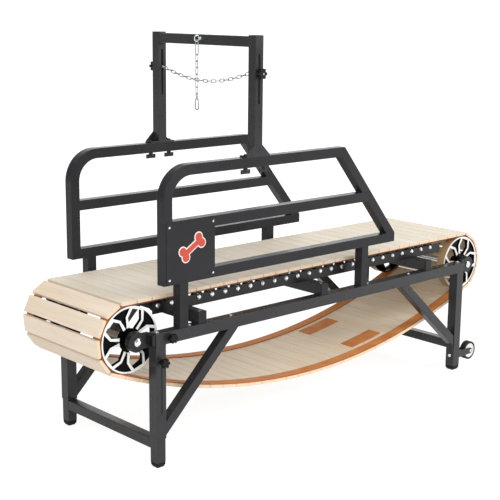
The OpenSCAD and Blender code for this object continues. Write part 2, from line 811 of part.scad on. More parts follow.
// Outline of one wheel window along +X, grown by rim
module window_outline(rim) {
    radii = wheel_r * window_radius_shares;
    halves = wheel_r * window_half_shares;
    polygon([
        [radii[0] - rim, -halves[0] - rim], [radii[1], -halves[1] - rim], [radii[2] + rim, -halves[2] - rim],
        [radii[2] + rim, halves[2] + rim], [radii[1], halves[1] + rim], [radii[0] - rim, halves[0] + rim]]);
}
// Spoked wheel with its outer face on z = 0 and its body towards -z
module spoked_wheel() {
    inner_r = wheel_r - rim_wall;
    step = 360 / window_count;
    difference() {
        union() {
            difference() {
                translate([0, 0, -wheel_width]) cylinder(h = wheel_width, r = wheel_r, $fn = 96);
                translate([0, 0, -wheel_width - overrun])
                    cylinder(h = wheel_width + 2 * overrun, r = inner_r, $fn = 96);
            }
            translate([0, 0, -disc_recess - disc_t]) cylinder(h = disc_t, r = inner_r + rim_wall / 2, $fn = 96);
            intersection() {
                translate([0, 0, -disc_recess - disc_t])
                    cylinder(h = disc_recess + disc_t - strip_recess, r = inner_r + rim_wall / 2, $fn = 96);
                translate([0, 0, -disc_recess - disc_t]) linear_extrude(disc_recess + disc_t) difference() {
                    for (i = [0 : window_count - 1]) rotate(window_turn + i * step) window_outline(window_frame);
                    circle(r = wheel_r * frame_start_share);
                }
            }
            translate([0, 0, -wheel_width]) cylinder(h = wheel_width, d = hub_d);
        }
        for (i = [0 : window_count - 1]) rotate(window_turn + i * step)
            translate([0, 0, -wheel_width - overrun])
                linear_extrude(wheel_width + 2 * overrun) difference() {
                    window_outline(0);
                    circle(d = hub_d);
                }
        translate([0, 0, -wheel_width - overrun]) cylinder(h = wheel_width + 2 * overrun, d = shaft_d);
    }
}
module placed_wheel(x) {
    translate([x, -wheel_face, axle_z]) rotate([90, 0, 0]) spoked_wheel();
}
module near_front_wheel() { color(black) placed_wheel(-axle_x); }
module far_front_wheel() { color(black) mirror([0, 1, 0]) placed_wheel(-axle_x); }
module near_rear_wheel() { color(black) placed_wheel(axle_x); }
module far_rear_wheel() { color(black) mirror([0, 1, 0]) placed_wheel(axle_x); }

// One slat of a given width, lying flat on z = 0
module slat(w) {
    translate([-w / 2, -belt_width / 2, 0]) cube([w, belt_width, slat_t]);
}
module top_slats() {
    color(wood) for (i = [0 : top_steps])
        translate([-axle_x + i * top_pitch, 0, axle_z + slat_in_r]) slat(top_pitch - slat_gap);
}
// Slats round the wheels at the front, between the end slats of the deck and of the return run
module wrap_slat_set() {
    wide = top_pitch - slat_gap;
    for (i = [1 : wrap_steps - 1])
        translate([-axle_x, 0, axle_z]) rotate([0, -i * wrap_pitch, 0])
            translate([0, 0, slat_in_r]) slat(wide);
}
module front_wrap_slats() { color(wood) wrap_slat_set(); }
module rear_wrap_slats() { color(wood) mirror([1, 0, 0]) wrap_slat_set(); }
module return_slats() {
    wide = (hang_d + strip_mid_r) * return_pitch * PI / 180 - slat_gap;
    color(wood) for (i = [0 : return_steps])
        translate([0, 0, hang_z]) rotate([0, 180 + hang_angle - i * return_pitch, 0])
            translate([0, 0, hang_d + slat_in_r]) slat(wide);
}

// Band of an edge strip round the Y axis, from the top over a given angle towards -X
module strip_band(r, angle, t, y0, w) {
    gap = strip_joint / 2 / r * 180 / PI;
    translate([0, y0 + w, 0]) rotate([90, 0, 0]) rotate(90 + gap)
        rotate_extrude(angle = angle - 2 * gap, $fn = 128) translate([r, 0]) square([t, w]);
}
module top_edge_strips() {
    color(strip_brown) both_sides()
        translate([-axle_x + strip_joint / 2, -belt_width / 2, deck_z])
            cube([axle_span - strip_joint, strip_width, strip_t]);
}
module wrap_strip_set() {
    translate([-axle_x, 0, axle_z]) both_sides()
        strip_band(strip_in_r, wrap_angle, strip_t, -belt_width / 2, strip_width);
}
module front_wrap_strips() { color(strip_brown) wrap_strip_set(); }
module rear_wrap_strips() { color(strip_brown) mirror([1, 0, 0]) wrap_strip_set(); }
module return_strips() {
    patch_r = hang_d + slat_in_r;
    patch_angle = patch_length / patch_r * 180 / PI;
    patch_turn = asin(patch_x / patch_r);
    color(strip_brown) translate([0, 0, hang_z]) both_sides() {
        rotate([0, hang_angle - 180, 0])
            strip_band(hang_d + strip_in_r, 2 * hang_angle, strip_t, -belt_width / 2, strip_width);
        rotate([0, -180 + patch_angle / 2 - patch_turn, 0])
            strip_band(patch_r - patch_t, patch_angle, patch_t,
                -belt_width / 2 + strip_width + patch_gap, patch_width);
    }
}

module front_inner_legs() {
    color(coat) both_sides() difference() {
        tube_z(foot_height, inner_leg_top, -leg_x, -rail_y, slide_bar);
        rod_y(-half_width, -rail_y, stud_d + fit, -leg_x, leg_knob_z);
    }
}
module front_cross_tube() {
    reach = rail_y - slide_bar / 2;
    color(coat) tube_y(-reach, reach, -leg_x, outer_leg_z - 3 * pass_gap - slide_bar / 2, slide_bar, slide_bar);
}

// Outline of a lobed knob head
module knob_outline(d) {
    lobe_r = d * knob_lobe_share / 2;
    ring_r = d / 2 - lobe_r;
    circle(r = ring_r);
    for (i = [0 : knob_lobes - 1]) rotate(i * 360 / knob_lobes) translate([ring_r, 0]) circle(r = lobe_r);
}
// Hand knob on the near side of the frame: a stud inwards, a neck and a head outwards
module placed_knob(x, z, stud, neck) {
    translate([x, -half_width - pass_gap, z]) rotate([-90, 0, 0]) {
        cylinder(h = stud, d = stud_d);
        translate([0, 0, -neck]) cylinder(h = neck, d = knob_neck_d);
        translate([0, 0, -neck - knob_h]) linear_extrude(knob_h) knob_outline(knob_d);
    }
}
module leg_knob() { placed_knob(-leg_x, leg_knob_z, leg_stud, leg_knob_neck); }
module rail_knob() { placed_knob(rail_knob_x, rail_z, rail_stud, knob_neck_h); }
module near_leg_knob() { color(black) leg_knob(); }
module far_leg_knob() { color(black) mirror([0, 1, 0]) leg_knob(); }
module near_rail_knob() { color(black) rail_knob(); }
module far_rail_knob() { color(black) mirror([0, 1, 0]) rail_knob(); }

// Chain link in the XZ plane, its length along X, from wire of a given size
module chain_link(long, wide, wire) {
    straight = long - wide;
    mid_r = (wide + wire) / 2;
    for (side = [0, 1]) mirror([side, 0, 0]) translate([straight / 2, 0, 0]) rotate([90, 0, 0]) rotate(-90)
        rotate_extrude(angle = 180) translate([mid_r, 0]) circle(d = wire);
    for (side = [-1, 1]) translate([-straight / 2, 0, side * mid_r]) rotate([0, 90, 0])
        cylinder(h = straight, d = wire);
}

// Place along the cross chain as a place across the arch, then the chain's height and slope there
function chain_y(along) = along - chain_curve * pow(along, 3) * 2 / 3;
function chain_z(y) = chain_bolt_z - chain_sag * (1 - pow(y / chain_half, 2));
function chain_slope(y) = atan(2 * chain_sag * y / pow(chain_half, 2));

// Chain between the two slot bolts, with an eye bolt through each post
module cross_chain() {
    color(steel) {
        for (i = [0 : chain_count - 1]) {
            y = chain_y((i + 0.5 - chain_count / 2) * chain_step);
            translate([post_x, y, chain_z(y)]) rotate([chain_slope(y), 0, 0]) rotate([(i % 2) * 90, 0, 90])
                chain_link(cross_link, link_width, link_wire);
        }
        both_sides() {
            translate([post_x, -chain_eye_y, chain_bolt_z])
                rotate_extrude() translate([chain_eye_d / 2, 0]) circle(d = link_wire);
            rod_y(-guard_face - knob_neck_h - knob_h, -chain_eye_y - chain_eye_d / 2, stud_d, post_x, chain_bolt_z);
        }
    }
}

// Knob on a slot bolt, bored right through, with the bolt's end showing
module slot_knob() {
    translate([post_x, -guard_face - pass_gap, chain_bolt_z]) rotate([90, 0, 0]) difference() {
        union() {
            cylinder(h = slot_knob_neck, d = knob_neck_d);
            translate([0, 0, slot_knob_neck]) linear_extrude(knob_h) knob_outline(slot_knob_d);
        }
        translate([0, 0, -overrun])
            cylinder(h = slot_knob_neck + knob_h + 2 * overrun, d = stud_d + fit);
    }
}
module near_slot_knob() { color(black) slot_knob(); }
module far_slot_knob() { color(black) mirror([0, 1, 0]) slot_knob(); }

// Hanging tether: a long link on the eye, a run of chain and a snap hook
module tether_link() {
    color(steel) translate([eye_x, 0, long_link_end + long_link / 2]) rotate([0, 90, 90])
        chain_link(long_link, long_link_width, long_wire);
}
function tether_z(i) = long_link_end + link_play - link_length / 2 - i * (link_length - link_play);
module tether_chain() {
    color(steel) for (i = [0 : tether_links - 1])
        translate([eye_x, 0, tether_z(i)]) rotate([0, 90, (i % 2) * 90])
            chain_link(link_length, link_width, link_wire);
}
// Snap hook in the YZ plane: an eye, two bows and a spine, open where the gate closes it
module snap_hook() {
    mid_r = (hook_width + hook_wire) / 2;
    color(steel) translate([eye_x, 0, 0]) {
        translate([0, 0, hook_eye_z]) rotate([90, 0, (tether_links % 2) * 90]) rotate_extrude()
            translate([hook_eye_r, 0]) circle(d = hook_eye_wire);
        translate([0, 0, hook_top_z + mid_r]) cylinder(h = hook_shank, d = hook_neck_d);
        translate([0, 0, hook_top_z]) rotate([90, 0, 90])
            rotate_extrude(angle = 180) translate([mid_r, 0]) circle(d = hook_wire);
        translate([0, 0, hook_top_z - hook_straight]) rotate([90, 0, 90]) rotate(180)
            rotate_extrude(angle = 180) translate([mid_r, 0]) circle(d = hook_wire);
        translate([0, mid_r, hook_top_z - hook_straight]) cylinder(h = hook_straight, d = hook_wire);
    }
}
// Gate of the snap hook, round at its pivot
module snap_gate() {
    pivot_drop = gate_d / 2 + pass_gap;
    length = hook_straight - pivot_drop - pass_gap;
    color(steel) translate([eye_x, -(hook_width + hook_wire) / 2, hook_top_z - pivot_drop]) {
        translate([0, 0, -length]) cylinder(h = length, d = gate_d);
        rotate_extrude() intersection() {
            circle(d = gate_d);
            square(gate_d);
        }
    }
}

// Fork of a transport wheel: a back plate on the leg and two cheeks
module transport_fork() {
    inner = roller_width / 2 + cheek_gap;
    translate([0, -rail_y, 0]) difference() {
        union() {
            translate([half_len, -inner - cheek_t, roller_z - fork_height / 2])
                cube([fork_wall, 2 * (inner + cheek_t), fork_height]);
            for (y = [-inner - cheek_t, inner])
                translate([0, y + cheek_t, 0]) rotate([90, 0, 0]) linear_extrude(cheek_t) {
                    polygon([[half_len, roller_z - fork_height / 2], [roller_x, roller_z - fork_nose_d / 2],
                        [roller_x, roller_z + fork_nose_d / 2], [half_len, roller_z + fork_height / 2]]);
                    translate([roller_x, roller_z]) circle(d = fork_nose_d);
                }
        }
        rod_y(-inner - cheek_t - overrun, inner + cheek_t + overrun, stud_d + fit, roller_x, roller_z);
        translate([half_len - overrun, 0, fork_bolt_z]) rotate([0, 90, 0])
            cylinder(h = fork_wall + 2 * overrun, d = stud_d + fit);
    }
}
module transport_forks() { color(coat) both_sides() transport_fork(); }

module transport_wheel() {
    difference() {
        rod_y(-rail_y - roller_width / 2, -rail_y + roller_width / 2, roller_d, roller_x, roller_z);
        rod_y(-half_width - overrun, -rail_y + roller_width, stud_d + fit, roller_x, roller_z);
        for (y = [-rail_y - roller_width / 2 - overrun, -rail_y + roller_width / 2 - roller_dish]) difference() {
            rod_y(y, y + roller_dish + overrun, roller_d * roller_hub_share, roller_x, roller_z);
            rod_y(y - overrun, y + roller_dish + 2 * overrun, roller_bolt_head_d + stud_d, roller_x, roller_z);
        }
    }
}
module near_transport_wheel() { color(black) transport_wheel(); }
module far_transport_wheel() { color(black) mirror([0, 1, 0]) transport_wheel(); }

near_side_rail();
far_side_rail();
near_front_leg();
far_front_leg();
near_rear_leg();
far_rear_leg();
leg_braces();
rear_cross_tube();
deck_crossbeams();
near_bearing_rail();
far_bearing_rail();
near_deck_bearings();
far_deck_bearings();
deck_bearing_bolts();
near_guard();
far_guard();
side_panel();
panel_emblem();
near_arch_post();
far_arch_post();
arch_crossbar();
arch_base_plates();
arch_wing_bolts();
eye_bolt();
rear_feet();
tube_caps();
frame_bolts();
rear_axle_brackets();
transport_forks();
near_transport_wheel();
far_transport_wheel();
front_axle_brackets();
front_shaft();
rear_shaft();
near_front_wheel();
far_front_wheel();
near_rear_wheel();
far_rear_wheel();
top_slats();
front_wrap_slats();
return_slats();
rear_wrap_slats();
top_edge_strips();
front_wrap_strips();
return_strips();
rear_wrap_strips();
front_inner_legs();
front_cross_tube();
front_feet();
near_leg_knob();
far_leg_knob();
near_rail_knob();
far_rail_knob();
cross_chain();
near_slot_knob();
far_slot_knob();
tether_link();
tether_chain();
snap_hook();
snap_gate();
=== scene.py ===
import json
import math

import bmesh
import bpy
from mathutils import Matrix, Vector


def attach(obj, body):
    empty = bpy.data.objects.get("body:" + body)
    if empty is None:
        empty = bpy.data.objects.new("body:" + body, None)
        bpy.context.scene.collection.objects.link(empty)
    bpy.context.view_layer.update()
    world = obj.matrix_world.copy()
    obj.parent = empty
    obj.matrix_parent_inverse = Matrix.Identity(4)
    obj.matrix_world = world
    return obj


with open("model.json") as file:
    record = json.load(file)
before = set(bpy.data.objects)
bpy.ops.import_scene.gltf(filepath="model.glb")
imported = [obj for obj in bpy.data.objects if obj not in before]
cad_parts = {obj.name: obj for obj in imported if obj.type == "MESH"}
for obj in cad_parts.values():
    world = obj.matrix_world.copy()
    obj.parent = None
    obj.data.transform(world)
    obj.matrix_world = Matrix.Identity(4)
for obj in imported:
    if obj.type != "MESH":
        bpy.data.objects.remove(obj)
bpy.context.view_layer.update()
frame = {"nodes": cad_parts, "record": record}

nodes = frame["nodes"]
print("stage: frame loaded,", len(nodes), "nodes")


# Colours are written as the eye reads them and turned into linear light here
def linear(hexColour):
    values = [int(hexColour[i:i + 2], 16) / 255 for i in (1, 3, 5)]
    return tuple(v / 12.92 if v <= 0.04045 else ((v + 0.055) / 1.055) ** 2.4 for v in values) + (1.0,)


# Links an input to another node's output or sets it to a plain value; None leaves it as it is
def plug(tree, socket, value):
    if isinstance(value, bpy.types.NodeSocket):
        tree.links.new(value, socket)
    elif value is not None:
        socket.default_value = value


# Fills inputs by name, with _ for each space
def feed(tree, node, **values):
    for key, value in values.items():
        plug(tree, node.inputs[key.replace("_", " ")], value)


# Adds one shader node; args fill its inputs in order, named inputs go by name
def put(tree, kind, args=(), settings=None, **named):
    node = tree.nodes.new(kind)
    for key, value in (settings or {}).items():
        setattr(node, key, value)
    for socket, value in zip(node.inputs, args):
        plug(tree, socket, value)
    feed(tree, node, **named)
    return node


def maths(tree, operation, *args):
    return put(tree, "ShaderNodeMath", args, {"operation": operation}).outputs[0]


def vectorMaths(tree, operation, *args):
    return put(tree, "ShaderNodeVectorMath", args, {"operation": operation}).outputs


# Maps a value from one span to another, held at both ends
def span(tree, value, low, high, toLow=0.0, toHigh=1.0):
    return put(tree, "ShaderNodeMapRange", (value, low, high, toLow, toHigh)).outputs[0]


# Places of the colour sockets on the mix node, which has a set for each kind of value
mixSockets = {"share": 0, "first": 6, "second": 7, "result": 2}


def mixColour(tree, share, first, second):
    node = put(tree, "ShaderNodeMix", settings={"data_type": "RGBA"})
    for key, value in (("share", share), ("first", first), ("second", second)):
        plug(tree, node.inputs[mixSockets[key]], value)
    return node.outputs[mixSockets["result"]]


def objectPoint(tree):
    return put(tree, "ShaderNodeTexCoord").outputs["Object"]


def stretched(tree, point, scale):
    return put(tree, "ShaderNodeMapping", (point, None, None, scale)).outputs[0]


def split(tree, point):
    return put(tree, "ShaderNodeSeparateXYZ", (point,)).outputs


def noise(tree, point, scale, detail, rough=0.55, distortion=0.0):
    return put(tree, "ShaderNodeTexNoise", Vector=point, Scale=scale, Detail=detail, Roughness=rough,
               Distortion=distortion).outputs[0]


# Distance from an axle along Y, from the offsets in X and Z
def axleRadius(tree, along, rise):
    squares = [maths(tree, "MULTIPLY", offset, offset) for offset in (along, rise)]
    return maths(tree, "SQRT", maths(tree, "ADD", *squares))


def bump(tree, height, strength, distance, normal=None):
    return put(tree, "ShaderNodeBump", Height=height, Strength=strength, Distance=distance,
               Normal=normal).outputs[0]


def newGroup(name, sockets):
    tree = bpy.data.node_groups.new(name, "ShaderNodeTree")
    for title, way, kind in sockets:
        tree.interface.new_socket(name=title, in_out=way, socket_type=kind)
    return tree, tree.nodes.new("NodeGroupInput"), tree.nodes.new("NodeGroupOutput")


# Mask of rubbed edges: where the rounded normal leaves the true one, broken up by noise
rubFacts = {"samples": 6, "edge": (0.99, 0.82), "patchScale": 45.0, "patchDetail": 4.0, "patch": (0.42, 0.66)}


def makeEdgeGroup(s):
    tree, source, result = newGroup("edgeRub", [
        ("Radius", "INPUT", "NodeSocketFloat"), ("Amount", "INPUT", "NodeSocketFloat"),
        ("Mask", "OUTPUT", "NodeSocketFloat"), ("Rounded", "OUTPUT", "NodeSocketVector")])
    rounded = put(tree, "ShaderNodeBevel", settings={"samples": s["samples"]},
                  Radius=source.outputs[0]).outputs[0]
    true = put(tree, "ShaderNodeNewGeometry").outputs["Normal"]
    same = vectorMaths(tree, "DOT_PRODUCT", rounded, true)["Value"]
    edge = span(tree, same, *s["edge"])
    patchy = span(tree, noise(tree, objectPoint(tree), s["patchScale"], s["patchDetail"]), *s["patch"])
    both = maths(tree, "MULTIPLY", edge, patchy)
    tree.links.new(maths(tree, "MULTIPLY", both, source.outputs[1]), result.inputs[0])
    tree.links.new(rounded, result.inputs[1])
    return tree


# Fine bumps of a sprayed or moulded skin, as a height and a slow patchiness
skinFacts = {"fineDetail": 2.0, "fineRough": 0.5, "patchScale": 5.5, "patchDetail": 4.0, "patch": (0.3, 0.7)}


def makeSkinGroup(s):
    tree, source, result = newGroup("sprayedSkin", [
        ("Grain", "INPUT", "NodeSocketFloat"), ("Height", "OUTPUT", "NodeSocketFloat"),
        ("Patch", "OUTPUT", "NodeSocketFloat")])
    point = objectPoint(tree)
    fine = noise(tree, point, source.outputs[0], s["fineDetail"], s["fineRough"])
    tree.links.new(fine, result.inputs[0])
    slow = noise(tree, point, s["patchScale"], s["patchDetail"])
    tree.links.new(span(tree, slow, *s["patch"]), result.inputs[1])
    return tree


edgeGroup = makeEdgeGroup(rubFacts)
skinGroup = makeSkinGroup(skinFacts)


def useGroup(tree, group, *args):
    node = put(tree, "ShaderNodeGroup", settings={"node_tree": group})
    for socket, value in zip(node.inputs, args):
        socket.default_value = value
    return node.outputs


def newMaterial(name):
    material = bpy.data.materials.new(name)
    material.use_nodes = True
    tree = material.node_tree
    shader = next(n for n in tree.nodes if n.type == "BSDF_PRINCIPLED")
    return material, tree, shader


# Coated or moulded surface: two close tones, fine grain and rubbed edges
coatFacts = {"roughSwing": 0.06, "depth": 0.0006}


def skinMaterial(name, s):
    material, tree, shader = newMaterial(name)
    height, patch = useGroup(tree, skinGroup, s["grain"])
    rub, rounded = useGroup(tree, edgeGroup, s["edge"], s["rub"])
    tone = mixColour(tree, patch, linear(s["dark"]), linear(s["light"]))
    colour = mixColour(tree, rub, tone, linear(s["bare"]))
    swing = coatFacts["roughSwing"]
    rough = span(tree, patch, 0.0, 1.0, s["rough"] - swing, s["rough"] + swing)
    feed(tree, shader, Base_Color=colour, Roughness=rough, Specular_IOR_Level=s["specular"],
         Normal=bump(tree, height, s["bump"], coatFacts["depth"], rounded))
    return material


# Bright metal with fine turning or drawing marks and a little tarnish
metalFacts = {"markScale": 900.0, "markDetail": 2.0, "mark": (0.3, 0.7), "tarnishScale": 38.0,
              "tarnishDetail": 4.0, "tarnish": (0.4, 0.75), "smoother": 0.07, "rougher": 0.1, "bump": 0.12,
              "depth": 0.0003}


def metalMaterial(name, s):
    f = metalFacts
    material, tree, shader = newMaterial(name)
    rounded = useGroup(tree, edgeGroup, s["edge"], 0.0)[1]
    point = objectPoint(tree)
    marks = noise(tree, stretched(tree, point, s["stretch"]), f["markScale"], f["markDetail"])
    tarnish = span(tree, noise(tree, point, f["tarnishScale"], f["tarnishDetail"]), *f["tarnish"])
    colour = mixColour(tree, tarnish, linear(s["light"]), linear(s["dark"]))
    rough = span(tree, marks, *f["mark"], s["rough"] - f["smoother"], s["rough"] + f["rougher"])
    feed(tree, shader, Base_Color=colour, Roughness=rough, Metallic=1.0,
         Normal=bump(tree, marks, f["bump"], f["depth"], rounded))
    return material


# Pale hardwood slats: grain along Y, each slat with its own tone, darker sawn ends
woodFacts = {"shift": (7.0, 31.0, 3.0), "grainStretch": (1.0, 0.055, 1.0), "figureScale": 42.0,
             "figureDetail": 5.0, "figureRough": 0.62, "figureTwist": 0.6, "poreScale": 420.0,
             "poreDetail": 2.0, "poreRough": 0.5, "wideStretch": (1.0, 0.25, 1.0), "wideScale": 9.0,
             "wideDetail": 2.0, "wide": (0.35, 0.7, 0.0, 0.5), "streak": (0.46, 0.72), "pore": (0.58, 0.8),
             "sawnStart": 0.0022, "sawnFull": 0.0006, "sawnShare": 0.55, "edge": 0.0015,
             "poreRoughSpan": (0.3, 0.75), "smoother": 0.05, "rougher": 0.12, "heightShare": 0.5,
             "bump": 0.12, "depth": 0.0005, "specular": 0.35}


def woodMaterial(name, s):
    f = woodFacts
    material, tree, shader = newMaterial(name)
    chance = put(tree, "ShaderNodeNewGeometry").outputs["Random Per Island"]
    place = objectPoint(tree)
    shifts = [maths(tree, "MULTIPLY", chance, reach) for reach in f["shift"]]
    shift = put(tree, "ShaderNodeCombineXYZ", shifts).outputs[0]
    moved = vectorMaths(tree, "ADD", place, shift)[0]
    along = stretched(tree, moved, f["grainStretch"])
    figure = noise(tree, along, f["figureScale"], f["figureDetail"], f["figureRough"], f["figureTwist"])
    pores = noise(tree, along, f["poreScale"], f["poreDetail"], f["poreRough"])
    wide = noise(tree, stretched(tree, moved, f["wideStretch"]), f["wideScale"], f["wideDetail"])
    tone = mixColour(tree, chance, linear(s["pale"]), linear(s["tan"]))
    tone = mixColour(tree, span(tree, wide, *f["wide"]), tone, linear(s["pink"]))
    streak = maths(tree, "MULTIPLY", span(tree, figure, *f["streak"]), s["figure"])
    tone = mixColour(tree, streak, tone, linear(s["vein"]))
    tone = mixColour(tree, span(tree, pores, *f["pore"], 0.0, s["pores"]), tone, linear(s["vein"]))
    across = maths(tree, "ABSOLUTE", split(tree, place)[1])
    sawn = span(tree, across, s["half"] - f["sawnStart"], s["half"] - f["sawnFull"])
    tone = mixColour(tree, maths(tree, "MULTIPLY", sawn, f["sawnShare"]), tone, linear(s["end"]))
    rub = useGroup(tree, edgeGroup, f["edge"], s["scuff"])[0]
    tone = mixColour(tree, rub, tone, linear(s["worn"]))
    rough = span(tree, pores, *f["poreRoughSpan"], s["rough"] - f["smoother"], s["rough"] + f["rougher"])
    height = maths(tree, "ADD", *(maths(tree, "MULTIPLY", wave, f["heightShare"]) for wave in (figure, pores)))
    feed(tree, shader, Base_Color=tone, Roughness=rough, Specular_IOR_Level=f["specular"],
         Normal=bump(tree, height, f["bump"], f["depth"]))
    return material


# Brown edge strip: leather-like grain, darker towards its two edges, with a darker band along its cut edges
stripFacts = {"past": (0.0006, 0.0003), "edgeDepth": 0.006, "edgeShare": 0.45, "cut": (0.0005, 0.0002),
              "cloudScale": 14.0, "cloudDetail": 4.0, "cloud": (0.3, 0.7), "pebbleScale": 620.0,
              "rough": (0.5, 0.68), "bump": 0.3, "depth": 0.0006}


def stripMaterial(name, s):
    f = stripFacts
    material, tree, shader = newMaterial(name)
    point = objectPoint(tree)
    across = maths(tree, "ABSOLUTE", split(tree, point)[1])
    away = maths(tree, "ABSOLUTE", maths(tree, "SUBTRACT", across, s["middle"]))
    within = span(tree, away, *(s["half"] + past for past in f["past"]))
    edge = maths(tree, "MULTIPLY", within, span(tree, away, s["half"] - f["edgeDepth"], s["half"]))
    cut = maths(tree, "MULTIPLY", within, span(tree, away, *(s["half"] - depth for depth in f["cut"])))
    cloudy = span(tree, noise(tree, point, f["cloudScale"], f["cloudDetail"]), *f["cloud"])
    tone = mixColour(tree, cloudy, linear(s["dark"]), linear(s["light"]))
    tone = mixColour(tree, maths(tree, "MULTIPLY", edge, f["edgeShare"]), tone, linear(s["edge"]))
    tone = mixColour(tree, cut, tone, linear(s["cut"]))
    pebble = put(tree, "ShaderNodeTexVoronoi", Vector=point, Scale=f["pebbleScale"]).outputs["Distance"]
    feed(tree, shader, Base_Color=tone, Roughness=span(tree, cloudy, 0.0, 1.0, *f["rough"]),
         Normal=bump(tree, pebble, f["bump"], f["depth"]), Specular_IOR_Level=s["specular"])
    return material


# Spoked wheel: white raised faces outside the hub, tan grip lining on the tread, gloss black elsewhere
wheelFacts = {"proudSoft": 0.0003, "ringSoft": 0.0004, "grain": 700.0, "edge": 0.0012, "rub": 0.5,
              "grimeShare": 0.25, "rough": (0.3, 0.42), "bump": 0.05, "depth": 0.0004}


def wheelMaterial(name, s):
    f = wheelFacts
    material, tree, shader = newMaterial(name)
    x, y, z = split(tree, objectPoint(tree))
    proud = span(tree, maths(tree, "ABSOLUTE", y), s["proud"], s["proud"] + f["proudSoft"])
    fromAxle = maths(tree, "SUBTRACT", maths(tree, "ABSOLUTE", x), s["axle"])
    radius = axleRadius(tree, fromAxle, maths(tree, "SUBTRACT", z, s["height"]))
    outside = span(tree, radius, s["hub"], s["hub"] + f["ringSoft"])
    white = maths(tree, "MULTIPLY", proud, outside)
    height, patch = useGroup(tree, skinGroup, f["grain"])
    rub, rounded = useGroup(tree, edgeGroup, f["edge"], f["rub"])
    grime = maths(tree, "MULTIPLY", patch, f["grimeShare"])
    pale = mixColour(tree, grime, linear(s["white"]), linear(s["soiled"]))
    dark = mixColour(tree, rub, linear(s["black"]), linear(s["bare"]))
    tread = span(tree, radius, s["tread"], s["tread"] + f["ringSoft"])
    grip = mixColour(tree, patch, linear(s["lining"]), linear(s["liningDark"]))
    dark = mixColour(tree, tread, dark, grip)
    feed(tree, shader, Base_Color=mixColour(tree, white, dark, pale),
         Roughness=span(tree, white, 0.0, 1.0, *f["rough"]), Specular_IOR_Level=s["specular"],
         Normal=bump(tree, height, f["bump"], f["depth"], rounded))
    return material


# Transport wheel: black tread outside a white hub
rollerFacts = {"ringSoft": 0.0003, "grain": 500.0, "rough": (0.38, 0.75), "bump": 0.15, "depth": 0.0006}


def rollerMaterial(name, s):
    f = rollerFacts
    material, tree, shader = newMaterial(name)
    x, _, z = split(tree, objectPoint(tree))
    radius = axleRadius(tree, maths(tree, "SUBTRACT", x, s["axle"]), maths(tree, "SUBTRACT", z, s["height"]))
    tread = span(tree, radius, s["hub"] - f["ringSoft"], s["hub"] + f["ringSoft"])
    height, patch = useGroup(tree, skinGroup, f["grain"])
    hub = mixColour(tree, patch, linear(s["white"]), linear(s["soiled"]))
    feed(tree, shader, Base_Color=mixColour(tree, tread, hub, linear(s["black"])),
         Roughness=span(tree, tread, 0.0, 1.0, *f["rough"]), Normal=bump(tree, height, f["bump"], f["depth"]))
    return material


# Bone emblem: red raised face on a pale rim
emblemFacts = {"faceSoft": 0.0004, "grain": 600.0, "edge": 0.001, "rub": 0.4, "rough": 0.38, "bump": 0.06,
               "depth": 0.0004}


def emblemMaterial(name, s):
    f = emblemFacts
    material, tree, shader = newMaterial(name)
    raised = span(tree, split(tree, objectPoint(tree))[1], s["face"], s["face"] - f["faceSoft"])
    height, patch = useGroup(tree, skinGroup, f["grain"])
    red = mixColour(tree, patch, linear(s["red"]), linear(s["redLight"]))
    rub, rounded = useGroup(tree, edgeGroup, f["edge"], f["rub"])
    colour = mixColour(tree, raised, linear(s["rim"]), red)
    feed(tree, shader, Base_Color=mixColour(tree, rub, colour, linear(s["rim"])), Roughness=f["rough"],
         Normal=bump(tree, height, f["bump"], f["depth"], rounded))
    return material


coatLook = {"dark": "#252527", "light": "#2c2c2e", "bare": "#565658", "grain": 1100.0, "edge": 0.002,
            "rub": 0.3, "rough": 0.29, "bump": 0.1, "specular": 0.3}
guardLook = dict(coatLook, specular=0.12)
panelLook = dict(guardLook, rough=0.42, bump=0.2)
railLook = dict(coatLook, dark="#121213", light="#191919", rough=0.36)
knobLook = {"dark": "#0a0a0b", "light": "#111112", "bare": "#2c2c2e", "grain": 900.0, "edge": 0.0016,
            "rub": 0.5, "rough": 0.4, "bump": 0.2, "specular": 0.17}
rubberLook = {"dark": "#0c0c0c", "light": "#141414", "bare": "#262628", "grain": 650.0, "edge": 0.002,
              "rub": 0.5, "rough": 0.7, "bump": 0.3, "specular": 0.25}
capLook = dict(knobLook, dark="#1f1f21", light="#272729")
hardwareLook = {"dark": "#0c0c0d", "light": "#161617", "bare": "#4a4a4c", "grain": 800.0, "edge": 0.001,
                "rub": 0.6, "rough": 0.36, "bump": 0.1, "specular": 0.4}
bearingLook = {"dark": "#0a0a0b", "light": "#141415", "bare": "#5a5a5c", "grain": 900.0, "edge": 0.0012,
               "rub": 0.6, "rough": 0.32, "bump": 0.08, "specular": 0.4}
zincLook = {"light": "#e4e6e8", "dark": "#b9bcc0", "rough": 0.24, "stretch": (1, 1, 1), "edge": 0.0012}
shaftLook = {"light": "#dcdee0", "dark": "#b4b7ba", "rough": 0.22, "stretch": (1, 6, 1), "edge": 0.001}
chainLook = {"light": "#b9bcbf", "dark": "#75787c", "rough": 0.26, "stretch": (1, 1, 1), "edge": 0.0008}
slatLook = {"pale": "#e3d7c6", "tan": "#ddcdb7", "pink": "#e1cbb3", "vein": "#c9ac89", "end": "#d9b692",
            "worn": "#efe2d0", "figure": 0.4, "pores": 0.2, "scuff": 0.5, "half": 0.234, "rough": 0.5}
# Painted light: the top run's wood is painted greyer and cooler than the other slats, standing in for the cool
# light from overhead
paintedLightTopLook = dict(slatLook, pale="#dcd5c7", tan="#d6ccba", pink="#dacab6", vein="#c5ae90")
# Painted light: the return run's wood is painted brighter and warmer, standing in for light reaching it under
# the deck
paintedLightReturnLook = dict(slatLook, pale="#f5e8d4", tan="#f2dfc3", pink="#f2dbbb", vein="#dcbe97")
stripLook = {"dark": "#b8652a", "light": "#d2854b", "edge": "#8f4c22", "cut": "#6b442b", "middle": 0.211,
             "half": 0.023, "specular": 0.15}
# Painted light: the return run's strips, edges and cuts are painted brighter, standing in for light reaching
# them under the deck
paintedLightReturnStripLook = dict(stripLook, dark="#c8783a", light="#de975a", edge="#a45f2f", cut="#a9653a")
